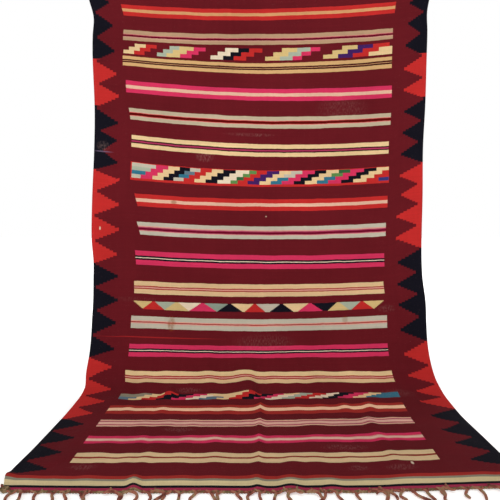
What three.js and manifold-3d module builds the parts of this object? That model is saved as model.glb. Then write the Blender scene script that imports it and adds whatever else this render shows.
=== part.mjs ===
import * as THREE from 'three';
import Module from 'manifold-3d';
import { mergeVertices } from 'three/addons/utils/BufferGeometryUtils.js';

// A flat-woven striped wool rug. It hangs by its top edge, sweeps round at the floor and lies
// out towards the viewer, where it ends in a twined cord with a fringe of plied warp ends.
// Millimetres, +Z up, floor at z = 0, +X to the right of somebody who faces the rug, and -Y
// towards that viewer. Along is measured on the cloth from its front end, across from its middle.

const rug = { width: 1600, length: 3200, thick: 4 };
const cord = { radius: 4.5, gap: 0.3, sides: 8, wrapAlong: [36, 18, 2], wrapSpare: 0.7, cornerPart: 0.8 };
const strand = { count: 40, half: 3.8, reach: 92, rootInside: 3, steps: 6 };

// The side view: slope of the cloth, straight between rows, so each stretch is an arc.
const slopeRows = [
  { along: 0, degrees: 0 },
  { along: 560, degrees: 0 },
  { along: 640, degrees: 3.5 },
  { along: 780, degrees: 5.5 },
  { along: 860, degrees: 17 },
  { along: 940, degrees: 39 },
  { along: 1040, degrees: 57 },
  { along: 1190, degrees: 77 },
  { along: 1400, degrees: 79 },
  { along: 1640, degrees: 85 },
  { along: 1840, degrees: 90 },
  { along: 3400, degrees: 90 },
];

// How the two selvedges wander, and how far the middle of the cloth has dropped below its sides.
const hangRows = [
  { along: 0, leftIn: 68, rightOut: -2, drop: 0 },
  { along: 45, leftIn: 46, rightOut: 12, drop: 0 },
  { along: 100, leftIn: 31, rightOut: 22, drop: 0 },
  { along: 300, leftIn: 32, rightOut: 25, drop: 0 },
  { along: 600, leftIn: 28, rightOut: 22, drop: 0 },
  { along: 860, leftIn: 26, rightOut: 22, drop: 0 },
  { along: 960, leftIn: 8, rightOut: 14, drop: 6 },
  { along: 1080, leftIn: 6, rightOut: 9, drop: 14 },
  { along: 1200, leftIn: 4, rightOut: 10, drop: 20 },
  { along: 1310, leftIn: 5, rightOut: 11, drop: 26 },
  { along: 1420, leftIn: 2, rightOut: 1, drop: 30 },
  { along: 1500, leftIn: 0, rightOut: -1, drop: 34 },
  { along: 1620, leftIn: -12, rightOut: 1, drop: 38 },
  { along: 1800, leftIn: -10, rightOut: 5, drop: 41 },
  { along: 2050, leftIn: 4, rightOut: 3, drop: 44 },
  { along: 2250, leftIn: 10, rightOut: 10, drop: 44 },
  { along: 2500, leftIn: 4, rightOut: 13, drop: 44 },
  { along: 2600, leftIn: 6, rightOut: 14, drop: 44 },
  { along: 2690, leftIn: 12, rightOut: 11, drop: 44 },
  { along: 2790, leftIn: -13, rightOut: 26, drop: 44 },
  { along: 2900, leftIn: -16, rightOut: 26, drop: 44 },
  { along: 3200, leftIn: 0, rightOut: 10, drop: 44 },
];

// The front end isn't square: how far back it lies, fading out along the cloth.
const frontRows = [
  { across: -800, back: -22 },
  { across: -450, back: -22 },
  { across: -250, back: -16 },
  { across: 0, back: -15 },
  { across: 180, back: -9 },
  { across: 310, back: -7 },
  { across: 410, back: 3 },
  { across: 510, back: 10 },
  { across: 600, back: 18 },
  { across: 800, back: 32 },
];
const frontFade = { start: 150, end: 900 };
const hangTilt = { start: 900, full: 2200, most: 6 };

// Ridges that stand up from the cloth: where they run, how high they rise, and how far their
// feet lie to the left and right of the crest. Each fades in and out over a length of its own.
const ridgeRows = [
  { near: -26, far: -8, from: 0, to: 760, riseNear: 6, riseFar: 13, left: 34, right: 34, fade: 80, sharp: true },
  { near: -404, far: -400, from: 0, to: 110, riseNear: 11, riseFar: 8, left: 30, right: 30, fade: 90 },
  { near: -400, far: -388, from: 170, to: 300, riseNear: 4, riseFar: 4, left: 34, right: 34, fade: 90 },
  { near: -438, far: -438, from: 310, to: 430, riseNear: 4, riseFar: 4, left: 32, right: 32, fade: 90 },
  { near: -557, far: -557, from: 630, to: 720, riseNear: 4, riseFar: 4, left: 34, right: 34, fade: 80 },
  { near: -417, far: -417, from: 610, to: 700, riseNear: 5, riseFar: 5, left: 36, right: 36, fade: 80 },
  { near: -411, far: -411, from: 775, to: 870, riseNear: 14, riseFar: 12, left: 44, right: 40, fade: 60 },
  { near: -52, far: -48, from: 780, to: 1050, riseNear: 24, riseFar: 11, left: 110, right: 44, fade: 60 },
  { near: 73, far: 90, from: 0, to: 230, riseNear: 8, riseFar: 4, left: 50, right: 50, fade: 90 },
  { near: 201, far: 205, from: 0, to: 90, riseNear: 4, riseFar: 3, left: 42, right: 42, fade: 90 },
  { near: 412, far: 420, from: 170, to: 600, riseNear: 4, riseFar: 5, left: 34, right: 34, fade: 90 },
  { near: 446, far: 446, from: 640, to: 760, riseNear: 9, riseFar: 8, left: 38, right: 38, fade: 70 },
  { near: 344, far: 344, from: 640, to: 740, riseNear: 8, riseFar: 7, left: 38, right: 38, fade: 70 },
  { near: -176, far: -172, from: 230, to: 400, riseNear: 4, riseFar: 4, left: 36, right: 36, fade: 90 },
];
const highRidge = 9;
const cornerCurl = { across: -800, along: 88, radius: 46, rise: 10 };

// Grid of the cloth: rows are closest where it bends, columns where it is ridged.
const rowStretches = [
  { to: 560, step: 40 },
  { to: 1400, step: 35 },
  { to: 3200, step: 150 },
];
const columnStep = 160;
const columnSpare = 12;

const colours = { cloth: 0x641a20, fringe: 0x8a4a3c };

const lerp = THREE.MathUtils.lerp;
const clamp = THREE.MathUtils.clamp;
const smooth = (t) => THREE.MathUtils.smoothstep(t, 0, 1);
const uneven = (n) => {
  const s = Math.sin(n * 12.9898) * 43758.5453;
  return s - Math.floor(s);
};

// Reads a named column of a table at a place in its first column, on a smooth curve.
function readTable(rows, first, column, place) {
  let k = 0;
  while (k < rows.length - 2 && place > rows[k + 1][first]) k += 1;
  const a = rows[k];
  const b = rows[k + 1];
  const span = b[first] - a[first];
  const t = clamp((place - a[first]) / span, 0, 1);
  const before = rows[Math.max(k - 1, 0)];
  const after = rows[Math.min(k + 2, rows.length - 1)];
  const slopeA = (b[column] - before[column]) / (b[first] - before[first]);
  const slopeB = (after[column] - a[column]) / (after[first] - a[first]);
  const t2 = t * t;
  const t3 = t2 * t;
  return (2 * t3 - 3 * t2 + 1) * a[column] + (t3 - 2 * t2 + t) * span * slopeA
    + (3 * t2 - 2 * t3) * b[column] + (t3 - t2) * span * slopeB;
}

// Side view: depth from the front end, height and slope after a run along the cloth.
function profileAt(run) {
  let depth = 0;
  let height = 0;
  for (let k = 0; k < slopeRows.length - 1; k += 1) {
    const a = slopeRows[k];
    const b = slopeRows[k + 1];
    const length = Math.min(run, b.along) - a.along;
    const startAngle = THREE.MathUtils.degToRad(a.degrees);
    const turn = THREE.MathUtils.degToRad(b.degrees - a.degrees) / (b.along - a.along);
    const angle = startAngle + turn * length;
    if (turn === 0) {
      depth += length * Math.cos(startAngle);
      height += length * Math.sin(startAngle);
    } else {
      depth += (Math.sin(angle) - Math.sin(startAngle)) / turn;
      height += (Math.cos(startAngle) - Math.cos(angle)) / turn;
    }
    if (run <= b.along) return { depth, height, angle };
  }
  return { depth, height, angle: Math.PI / 2 };
}

// Height of the ridges, and of the curled corner, above the smooth sheet.
function ridgeRise(across, along) {
  const fromCurl = Math.hypot(across - cornerCurl.across, along - cornerCurl.along) / cornerCurl.radius;
  let rise = cornerCurl.rise * (1 + Math.cos(Math.PI * Math.min(fromCurl, 1))) / 2;
  for (const r of ridgeRows) {
    const t = clamp((along - r.from) / (r.to - r.from), 0, 1);
    const beside = across - lerp(r.near, r.far, t);
    const off = Math.abs(beside) / (beside < 0 ? r.left : r.right);
    if (off >= 1) continue;
    const fadeIn = r.from > 0 ? smooth((along - r.from) / r.fade + 0.5) : 1;
    const fadeOut = smooth((r.to - along) / r.fade + 0.5);
    const shape = r.sharp ? (1 - off) ** 2 : (1 + Math.cos(Math.PI * off)) / 2;
    rise += lerp(r.riseNear, r.riseFar, t) * shape * fadeIn * fadeOut;
  }
  return rise;
}

// A point of the cloth, raised a given height off its back; depth 0 is the front end.
function clothPoint(across, along, raise) {
  const side = across / (rug.width / 2);
  const left = -rug.width / 2 + readTable(hangRows, 'along', 'leftIn', along);
  const right = rug.width / 2 + readTable(hangRows, 'along', 'rightOut', along);
  const fadePart = 1 - smooth((along - frontFade.start) / (frontFade.end - frontFade.start));
  const back = readTable(frontRows, 'across', 'back', across) * fadePart;
  const tilt = hangTilt.most * side * smooth((along - hangTilt.start) / (hangTilt.full - hangTilt.start));
  const drop = readTable(hangRows, 'along', 'drop', along) * (1 - side * side);
  const p = profileAt(along + back + tilt - drop);
  const off = raise + ridgeRise(across, along);
  return new THREE.Vector3(
    lerp(left, right, (side + 1) / 2),
    p.depth - Math.sin(p.angle) * off,
    p.height + Math.cos(p.angle) * off,
  );
}

function closedGeometry(positions, triangles) {
  const geometry = new THREE.BufferGeometry();
  geometry.setAttribute('position', new THREE.Float32BufferAttribute(positions, 3));
  geometry.setIndex(triangles);
  return geometry;
}

// Places across where the grid has a line: at the crest and feet of each ridge, half way down the
// high ones, and evenly where there is room.
function clothColumns() {
  const columns = [-rug.width / 2, rug.width / 2];
  const addWhereFree = (x, spare) => {
    if (columns.every((c) => Math.abs(c - x) > spare)) columns.push(x);
  };
  for (const r of ridgeRows) {
    const isHigh = Math.max(r.riseNear, r.riseFar) > highRidge;
    for (const off of isHigh ? [0, -0.5, 0.5, -1, 1] : [0, -1, 1]) {
      addWhereFree(lerp(r.near, r.far, 0.5) + off * (off < 0 ? r.left : r.right), columnSpare);
    }
  }
  for (let x = -rug.width / 2; x < rug.width / 2; x += columnStep) addWhereFree(x, columnStep / 2);
  return columns.sort((a, b) => a - b);
}

// The cloth: one closed sheet, back and face joined round its four edges.
function makeCloth() {
  const rows = [0];
  for (const stretch of rowStretches) {
    const start = rows[rows.length - 1];
    const count = Math.round((stretch.to - start) / stretch.step);
    for (let k = 1; k <= count; k += 1) rows.push(lerp(start, stretch.to, k / count));
  }
  const columns = clothColumns();

  const positions = [];
  for (const raise of [0, rug.thick]) {
    for (const along of rows) {
      for (const across of columns) positions.push(...clothPoint(across, along, raise).toArray());
    }
  }
  const wide = columns.length;
  const layer = wide * rows.length;
  const triangles = [];
  const quad = (a, b, c, d) => triangles.push(a, b, c, a, c, d);
  for (let r = 0; r < rows.length - 1; r += 1) {
    for (let c = 0; c < wide - 1; c += 1) {
      const k = r * wide + c;
      quad(k, k + wide, k + wide + 1, k + 1);
      quad(layer + k, layer + k + 1, layer + k + wide + 1, layer + k + wide);
    }
  }
  const last = (rows.length - 1) * wide;
  for (let c = 0; c < wide - 1; c += 1) {
    quad(c, c + 1, layer + c + 1, layer + c);
    quad(last + c + 1, last + c, layer + last + c, layer + last + c + 1);
  }
  for (let r = 0; r < rows.length - 1; r += 1) {
    const k = r * wide;
    quad(k + wide, k, layer + k, layer + k + wide);
    quad(k + wide - 1, k + 2 * wide - 1, layer + k + 2 * wide - 1, layer + k + wide - 1);
  }
  return closedGeometry(positions, triangles);
}

// Sweeps an upright section, given as [sideways, up] corners, along a run of points.
function sweep(points, section) {
  const positions = [];
  const triangles = [];
  const n = section.length;
  points.forEach((p, k) => {
    const a = points[Math.max(k - 1, 0)];
    const b = points[Math.min(k + 1, points.length - 1)];
    const run = Math.hypot(b.x - a.x, b.y - a.y);
    const side = new THREE.Vector3((b.y - a.y) / run, (a.x - b.x) / run, 0);
    for (const [out, up] of section) positions.push(p.x + side.x * out, p.y + side.y * out, p.z + up);
  });
  for (let k = 0; k < points.length - 1; k += 1) {
    for (let s = 0; s < n; s += 1) {
      const a = k * n + s;
      const b = k * n + (s + 1) % n;
      triangles.push(a, a + n, b, b, a + n, b + n);
    }
  }
  const end = (points.length - 1) * n;
  for (let s = 1; s < n - 1; s += 1) {
    triangles.push(0, s, s + 1);
    triangles.push(end, end + s + 1, end + s);
  }
  return closedGeometry(positions, triangles);
}

const ring = (radius, sides) => Array.from({ length: sides }, (_, k) => {
  const angle = (k + 0.5) / sides * 2 * Math.PI;
  const corner = radius / Math.cos(Math.PI / sides);
  return [corner * Math.cos(angle), corner * Math.sin(angle)];
});

// Middle line of the twined cord, just in front of the cloth's end, at a place across.
function cordMiddle(across) {
  const edge = clothPoint(across, 0, 0);
  return new THREE.Vector3(edge.x, edge.y - cord.gap - cord.radius, edge.z + cord.radius);
}

function makeCord() {
  const points = [];
  const half = rug.width / 2;
  const clear = cord.gap + cord.radius;
  for (const along of cord.wrapAlong) {
    const edge = clothPoint(-half, along, 0);
    points.push(new THREE.Vector3(edge.x - clear - cord.wrapSpare, edge.y, cord.radius));
  }
  const corner = clothPoint(-half, 0, 0);
  const cut = clear * cord.cornerPart;
  points.push(new THREE.Vector3(corner.x - cut, corner.y - cut, cord.radius));
  for (const across of clothColumns()) points.push(cordMiddle(across));
  return sweep(points, ring(cord.radius, cord.sides));
}

// One plied warp end: out of the cord, down to the floor and away in a loose curve.
function makeStrand(index) {
  const pitch = rug.width / strand.count;
  const across = -rug.width / 2 + (index + 0.5 + 0.5 * (uneven(index) - 0.5)) * pitch;
  const root = cordMiddle(across);
  const reach = strand.reach * (0.86 + 0.14 * uneven(index + 40));
  const lean = 17 * Math.sin(across / 150 + 0.8) + 7 * Math.sin(across / 47);
  const curl = 3.5 * Math.sin(across / 61 + 2);
  const points = [];
  for (let k = 0; k <= strand.steps; k += 1) {
    const t = k / strand.steps;
    const out = strand.rootInside - t * (reach + strand.rootInside - cord.radius);
    const sideways = lean * t * t + curl * Math.sin(2 * Math.PI * t);
    const height = lerp(root.z - cord.radius + strand.half, strand.half, smooth(t * 2.2));
    points.push(new THREE.Vector3(root.x + sideways, root.y + out, height));
  }
  const h = strand.half;
  return sweep(points, [[h, -h], [h, h], [-h, h], [-h, -h]]);
}

const wasm = await Module();
wasm.setup();

function toSolid(geometry) {
  const merged = mergeVertices(geometry, 1e-4);
  return new wasm.Manifold(new wasm.Mesh({
    numProp: 3,
    vertProperties: new Float32Array(merged.attributes.position.array),
    triVerts: new Uint32Array(merged.index.array),
  }));
}

// The fringe: the cord with every strand's root sunk into it.
function makeFringe() {
  let solid = toSolid(makeCord());
  for (let k = 0; k < strand.count; k += 1) solid = solid.add(toSolid(makeStrand(k)));
  const mesh = solid.getMesh();
  return closedGeometry(Array.from(mesh.vertProperties), Array.from(mesh.triVerts));
}

const wool = (color) => new THREE.MeshStandardMaterial({ color, roughness: 0.95, metalness: 0 });

const cloth = new THREE.Mesh(makeCloth(), wool(colours.cloth));
cloth.name = 'cloth';
const fringe = new THREE.Mesh(makeFringe(), wool(colours.fringe));
fringe.name = 'fringe';

// The rug's frame has its origin on the floor, under the middle of everything.
const group = new THREE.Group();
group.add(cloth, fringe);
const middle = new THREE.Box3().setFromObject(group).getCenter(new THREE.Vector3());
group.position.set(-middle.x, -middle.y, 0);

export default group;
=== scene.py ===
import math
import random

import bmesh
import bpy
from mathutils import Euler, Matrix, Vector, noise


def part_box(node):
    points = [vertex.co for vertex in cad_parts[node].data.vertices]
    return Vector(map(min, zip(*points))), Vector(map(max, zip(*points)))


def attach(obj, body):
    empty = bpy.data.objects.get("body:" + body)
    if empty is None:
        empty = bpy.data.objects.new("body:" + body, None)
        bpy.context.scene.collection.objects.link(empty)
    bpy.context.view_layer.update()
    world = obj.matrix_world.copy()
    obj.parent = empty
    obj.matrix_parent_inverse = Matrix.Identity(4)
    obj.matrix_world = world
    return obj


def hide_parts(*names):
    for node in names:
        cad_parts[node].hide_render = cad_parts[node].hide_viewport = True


# A flat-woven striped wool rug that hangs by its top edge, sweeps round at the floor and lies out
# towards the camera. Along is measured on the cloth from its front end, across from its middle.

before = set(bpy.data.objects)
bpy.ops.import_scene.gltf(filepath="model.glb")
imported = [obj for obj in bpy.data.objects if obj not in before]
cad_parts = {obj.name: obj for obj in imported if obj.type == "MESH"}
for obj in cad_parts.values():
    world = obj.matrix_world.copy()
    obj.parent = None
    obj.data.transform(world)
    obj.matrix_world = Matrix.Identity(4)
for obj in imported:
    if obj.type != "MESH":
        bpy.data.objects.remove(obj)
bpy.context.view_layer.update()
random.seed(7)
print("frame loaded")


def clamp(value):
    return max(0.0, min(1.0, value))


def smoothStep(value):
    value = clamp(value)
    return value * value * (3 - 2 * value)


def between(a, b, part):
    return a + (b - a) * part


def chart(columns, rows):
    # each row's values under the names of their columns
    return [dict(zip(columns.split(), row)) for row in rows]


# The cloth: cut size, grid, and the shape in which it hangs and lies
rug = {
    "width": 1.60,
    "length": 3.20,
    "thick": 0.004,
    "columns": 170,
    "rows": 272,
    "closeRowsTo": 1.40,      # rows lie closer together up to here
    "closeRowShare": 0.62,
    "selvedge": 0.004,        # outermost cell, its rim chamfered
    "rim": (0.2, 0.8),        # the chamfered rim, as a part of the thickness
}
ripples = {
    "lying": 0.0036,          # height where the cloth lies, hangs and bends
    "hung": 0.0018,
    "bend": 0.0085,
    "size": 0.065,
    "stretch": 0.6,           # drawn out along the cloth
    "layer": 0.37,
    "bendAt": 0.96,
    "bendReach": 0.30,
    "hungFrom": 0.72,
    "hungBlend": 0.20,
    "sideFade": 0.05,
    "endFade": 0.12,
    "base": 0.35,
    "swell": 1.2,
}

# Side view: slope of the cloth in degrees, straight between rows, so each stretch is an arc
slopeRows = chart("along slope", [
    (0, 0), (0.56, 0), (0.64, 3.5), (0.78, 5.5), (0.86, 17), (0.94, 39),
    (1.04, 57), (1.19, 77), (1.4, 79), (1.64, 85), (1.84, 90), (3.4, 90),
])

# How the two selvedges wander, and how far the middle has dropped below the sides
hangRows = chart("along leftIn rightOut drop", [
    (0, 0.068, -0.002, 0), (0.045, 0.046, 0.012, 0), (0.1, 0.031, 0.022, 0), (0.3, 0.032, 0.025, 0),
    (0.6, 0.028, 0.022, 0), (0.86, 0.026, 0.022, 0), (0.96, 0.008, 0.014, 0.006),
    (1.08, 0.006, 0.009, 0.014), (1.2, 0.004, 0.01, 0.02), (1.31, 0.005, 0.011, 0.026),
    (1.42, 0.002, 0.001, 0.03), (1.5, 0, -0.001, 0.034), (1.62, -0.012, 0.001, 0.038),
    (1.8, -0.01, 0.005, 0.041), (2.05, 0.004, 0.003, 0.044), (2.25, 0.01, 0.01, 0.044),
    (2.5, 0.004, 0.013, 0.044), (2.6, 0.006, 0.014, 0.044), (2.69, 0.012, 0.011, 0.044),
    (2.79, -0.013, 0.026, 0.044), (2.9, -0.016, 0.026, 0.044), (3.2, 0, 0.01, 0.044),
])
hangTilt = {"start": 0.90, "full": 2.20, "most": 0.006}

# The front end isn't square: how far back it lies, fading out along the cloth
frontRows = chart("across back", [
    (-0.8, -0.022), (-0.45, -0.022), (-0.25, -0.016), (0, -0.015), (0.18, -0.009),
    (0.31, -0.007), (0.41, 0.003), (0.51, 0.01), (0.6, 0.018), (0.8, 0.032),
])
frontFade = {"start": 0.15, "end": 0.90}

# The bands aren't quite level in the cloth: how far nearer the front end they lie at their own left
# and right ends than in the middle
askewRows = chart("along left right", [
    (0, 0, 0), (0.14, 0, 0), (0.22, 0, -0.005), (0.37, 0.005, -0.016), (0.52, 0, -0.03),
    (0.67, 0.01, -0.025), (0.79, 0.006, -0.03), (0.94, 0.002, -0.002), (1.08, 0, -0.006),
    (1.22, -0.006, -0.008), (1.3, -0.003, -0.006), (1.39, -0.002, 0.001), (1.53, -0.006, 0.013),
    (1.68, -0.007, 0.01), (1.82, -0.007, 0.014), (1.95, -0.017, 0.011), (2.08, -0.026, 0.019),
    (2.22, -0.023, 0.016), (2.35, -0.019, 0.02), (2.48, -0.019, 0.004), (2.54, -0.014, 0.004),
    (2.61, 0, 0.008), (2.73, -0.002, 0.003), (3.2, 0, 0),
])
askewEnds = {"full": 0.62, "from": 0.65, "to": 0.69}    # the side borders run true

# Ridges that stand up from the cloth: where they run, how high they rise, and how far their feet
# lie to the left and right of the crest. Each fades in and out over a length of its own.
ridgeRows = chart("near far start end riseNear riseFar left right fade sharp", [
    (-0.026, -0.008, 0, 0.76, 0.006, 0.013, 0.034, 0.034, 0.08, 1),
    (-0.404, -0.4, 0, 0.11, 0.011, 0.008, 0.03, 0.03, 0.09, 0),
    (-0.4, -0.388, 0.17, 0.3, 0.004, 0.004, 0.034, 0.034, 0.09, 0),
    (-0.438, -0.438, 0.31, 0.43, 0.004, 0.004, 0.032, 0.032, 0.09, 0),
    (-0.557, -0.557, 0.63, 0.72, 0.004, 0.004, 0.034, 0.034, 0.08, 0),
    (-0.417, -0.417, 0.61, 0.7, 0.005, 0.005, 0.036, 0.036, 0.08, 0),
    (-0.411, -0.411, 0.775, 0.87, 0.014, 0.012, 0.044, 0.04, 0.06, 0),
    (-0.052, -0.048, 0.78, 1.05, 0.024, 0.011, 0.11, 0.044, 0.06, 0),
    (0.073, 0.09, 0, 0.23, 0.008, 0.004, 0.05, 0.05, 0.09, 0),
    (0.201, 0.205, 0, 0.09, 0.004, 0.003, 0.042, 0.042, 0.09, 0),
    (0.43, 0.414, 0.17, 0.6, 0.004, 0.005, 0.034, 0.034, 0.09, 0),
    (0.446, 0.446, 0.64, 0.76, 0.009, 0.008, 0.038, 0.038, 0.07, 0),
    (0.344, 0.344, 0.64, 0.74, 0.008, 0.007, 0.038, 0.038, 0.07, 0),
    (-0.176, -0.172, 0.23, 0.4, 0.004, 0.004, 0.036, 0.036, 0.09, 0),
])
cornerCurl = {"across": -0.800, "along": 0.088, "radius": 0.046, "rise": 0.010}


def readTable(rows, first, column, place):
    # a named column at a place in the first one, on a smooth curve
    k = 0
    while k < len(rows) - 2 and place > rows[k + 1][first]:
        k += 1
    a, b = rows[k], rows[k + 1]
    before, after = rows[max(k - 1, 0)], rows[min(k + 2, len(rows) - 1)]
    span = b[first] - a[first]
    t = clamp((place - a[first]) / span)
    slopeA = (b[column] - before[column]) / (b[first] - before[first])
    slopeB = (after[column] - a[column]) / (after[first] - a[first])
    t2, t3 = t * t, t * t * t
    return ((2 * t3 - 3 * t2 + 1) * a[column] + (t3 - 2 * t2 + t) * span * slopeA
            + (3 * t2 - 2 * t3) * b[column] + (t3 - t2) * span * slopeB)


def profileAt(run):
    # depth, height and slope of the cloth's underside after a run along it
    depth = height = angle = 0.0
    for a, b in zip(slopeRows, slopeRows[1:]):
        length = min(run, b["along"]) - a["along"]
        startAngle = math.radians(a["slope"])
        turn = math.radians(b["slope"] - a["slope"]) / (b["along"] - a["along"])
        angle = startAngle + turn * length
        if turn == 0:
            depth += length * math.cos(startAngle)
            height += length * math.sin(startAngle)
        else:
            depth += (math.sin(angle) - math.sin(startAngle)) / turn
            height += (math.cos(startAngle) - math.cos(angle)) / turn
        if run <= b["along"]:
            break
    return depth, height, angle


def ridgeRise(across, along):
    curl = cornerCurl
    fromCurl = math.hypot(across - curl["across"], along - curl["along"]) / curl["radius"]
    rise = curl["rise"] * (1 + math.cos(math.pi * min(fromCurl, 1))) / 2
    for r in ridgeRows:
        t = clamp((along - r["start"]) / (r["end"] - r["start"]))
        beside = across - between(r["near"], r["far"], t)
        off = abs(beside) / (r["left"] if beside < 0 else r["right"])
        if off >= 1:
            continue
        fadeIn = smoothStep((along - r["start"]) / r["fade"] + 0.5) if r["start"] > 0 else 1.0
        fadeOut = smoothStep((r["end"] - along) / r["fade"] + 0.5)
        shape = (1 - off) ** 2 if r["sharp"] else (1 + math.cos(math.pi * off)) / 2
        rise += between(r["riseNear"], r["riseFar"], t) * shape * fadeIn * fadeOut
    return rise


def ripple(across, along):
    # small unevenness: most on the bend, some where it lies, none at the edges
    r = ripples
    free = smoothStep((rug["width"] / 2 - abs(across)) / r["sideFade"]) * smoothStep(along / r["endFade"])
    bend = smoothStep(1 - abs(along - r["bendAt"]) / r["bendReach"])
    resting = between(r["lying"], r["hung"], smoothStep((along - r["hungFrom"]) / r["hungBlend"]))
    place = Vector((across, along * r["stretch"], r["layer"])) / r["size"]
    return between(resting, r["bend"], bend) * free * max(r["base"] + r["swell"] * noise.noise(place), 0)


def clothPoint(across, along, lift):
    half = rug["width"] / 2
    side = across / half
    left = -half + readTable(hangRows, "along", "leftIn", along)
    right = half + readTable(hangRows, "along", "rightOut", along)
    fadePart = 1 - smoothStep((along - frontFade["start"]) / (frontFade["end"] - frontFade["start"]))
    back = readTable(frontRows, "across", "back", across) * fadePart
    tilt = hangTilt["most"] * side * smoothStep(
        (along - hangTilt["start"]) / (hangTilt["full"] - hangTilt["start"]))
    drop = readTable(hangRows, "along", "drop", along) * (1 - side * side)
    depth, height, angle = profileAt(along + back + tilt - drop)
    off = lift + ridgeRise(across, along) + ripple(across, along)
    return Vector((between(left, right, (side + 1) / 2),
                   depth - math.sin(angle) * off,
                   height + math.cos(angle) * off))


def wovenAlong(across, along):
    # where a place on the cloth is in the pattern
    off = abs(across)
    ends = askewEnds
    column = "left" if across < 0 else "right"
    inBand = smoothStep((ends["to"] - off) / (ends["to"] - ends["from"]))
    return along + readTable(askewRows, "along", column, along) * min(off / ends["full"], 1) * inBand


def rowPlace(part):
    share, mark = rug["closeRowShare"], rug["closeRowsTo"]
    if part < share:
        return mark * part / share
    return mark + (rug["length"] - mark) * (part - share) / (1 - share)


def columnPlace(index):
    half = rug["width"] / 2
    if index in (1, rug["columns"] - 1):
        return (rug["selvedge"] - half) * (1 if index == 1 else -1)
    return between(-half, half, index / rug["columns"])


def addPiece(name, mesh, material):
    mesh.name = name
    mesh.materials.clear()
    mesh.materials.append(material)
    for face in mesh.polygons:
        face.use_smooth = True
    piece = bpy.data.objects.new(name, mesh)
    bpy.context.scene.collection.objects.link(piece)
    return piece


def finishPiece(name, bm, material, move):
    mesh = bpy.data.meshes.new(name)
    bmesh.ops.translate(bm, verts=bm.verts, vec=move)
    bm.to_mesh(mesh)
    bm.free()
    return addPiece(name, mesh, material)


def makeCloth():
    bm = bmesh.new()
    bmesh.ops.create_grid(bm, x_segments=rug["columns"], y_segments=rug["rows"], size=0.5)
    raised = bmesh.ops.extrude_face_region(bm, geom=bm.faces[:])["geom"]
    top = [v for v in raised if isinstance(v, bmesh.types.BMVert)]
    bmesh.ops.translate(bm, verts=top, vec=(0, 0, 1))
    bmesh.ops.recalc_face_normals(bm, faces=bm.faces)
    # flat places first: the pattern's own map in metres, and a map on which every face has room
    weaveMap = bm.loops.layers.uv.new("flatCloth")
    bakeMap = bm.loops.layers.uv.new("OFBake")
    margin = 0.004
    for face in bm.faces:
        isTop = face.normal.z > 0.5
        isSide = abs(face.normal.z) < 0.5
        for loop in face.loops:
            x, y, z = loop.vert.co
            across, along = columnPlace(round((x + 0.5) * rug["columns"])), rowPlace(y + 0.5)
            loop[weaveMap].uv = (across, wovenAlong(across, along))
            left = 0.0 if isTop or isSide else 0.5
            spread = 1 + (margin * 2 if isSide and z < 0.5 else 0)
            loop[bakeMap].uv = (left + 0.25 + x * spread * (0.5 - 4 * margin),
                                0.5 + y * spread * (1 - 4 * margin))
    for vert in bm.verts:
        x, y, z = vert.co
        index = round((x + 0.5) * rug["columns"])
        lift = between(*rug["rim"], z) if index in (0, rug["columns"]) else z
        vert.co = clothPoint(columnPlace(index), rowPlace(y + 0.5), lift * rug["thick"])
    return bm


# Dyes as they look in the wool, in sRGB steps of 0 to 255
dyes = {
    "madder": (99, 23, 30), "red": (190, 43, 41), "brick": (160, 46, 40), "rose": (208, 50, 90),
    "cream": (226, 194, 144), "flax": (208, 180, 120), "ash": (190, 182, 163),
    "white": (228, 210, 182), "blush": (212, 152, 138), "wine": (104, 10, 34),
    "orchid": (165, 52, 88), "rust": (138, 50, 40), "umber": (52, 15, 12), "black": (19, 18, 27),
    "teal": (50, 112, 134), "slate": (96, 118, 130), "sage": (164, 172, 152), "leaf": (92, 136, 74),
    "fern": (52, 96, 58), "plum": (64, 32, 92), "indigo": (52, 54, 112), "straw": (218, 190, 146),
    "sand": (214, 196, 150), "cerise": (164, 50, 78), "apricot": (208, 150, 102),
    "fawn": (180, 146, 114), "honey": (208, 166, 112), "oat": (188, 172, 144),
    "biscuit": (218, 184, 138), "salmon": (248, 200, 162), "pearl": (228, 188, 168),
    "mist": (140, 134, 114), "shell": (224, 178, 152), "pink": (198, 112, 112),
    "oxblood": (92, 12, 12), "moss": (136, 150, 134), "stain": (140, 76, 24),
    "dust": (184, 150, 142), "mauve": (128, 108, 136), "cordTan": (150, 124, 92),
    "cordOlive": (104, 92, 62), "cordRed": (128, 62, 54), "yarnLight": (160, 98, 80),
    "yarnDark": (112, 60, 50),
}


def dye(name):
    steps = [value / 255 for value in dyes[name]]
    return (*(s / 12.92 if s <= 0.04045 else ((s + 0.055) / 1.055) ** 2.4 for s in steps), 1.0)


def setInputs(tree, node, inputs):
    for name, value in inputs.items():
        if isinstance(value, bpy.types.NodeSocket):
            tree.links.new(value, node.inputs[name])
        else:
            node.inputs[name].default_value = value


def addNode(tree, kind, inputs=None, **settings):
    node = tree.nodes.new("ShaderNode" + kind)
    for name, value in settings.items():
        setattr(node, name, value)
    setInputs(tree, node, inputs or {})
    return node


def calc(tree, operation, *values, clampIt=False):
    node = addNode(tree, "Math", dict(enumerate(values)), operation=operation, use_clamp=clampIt)
    return node.outputs[0]


def plus(tree, a, b):
    return calc(tree, "ADD", a, b)


def minus(tree, a, b):
    return calc(tree, "SUBTRACT", a, b)


def times(tree, a, b, clampIt=False):
    return calc(tree, "MULTIPLY", a, b, clampIt=clampIt)


def noiseOf(tree, place, size, detail, rough=0.5):
    node = addNode(tree, "TexNoise", {"Vector": place, "Scale": size, "Detail": detail, "Roughness": rough})
    return node.outputs["Fac"]


def swing(tree, value, amount):
    # a noise's value turned into a swing to both sides of nought
    return times(tree, minus(tree, value, 0.5), amount)


def over(tree, mask, below, above):
    node = addNode(tree, "Mix", {0: mask, 6: below, 7: above}, data_type="RGBA")
    return node.outputs[2]


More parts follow.
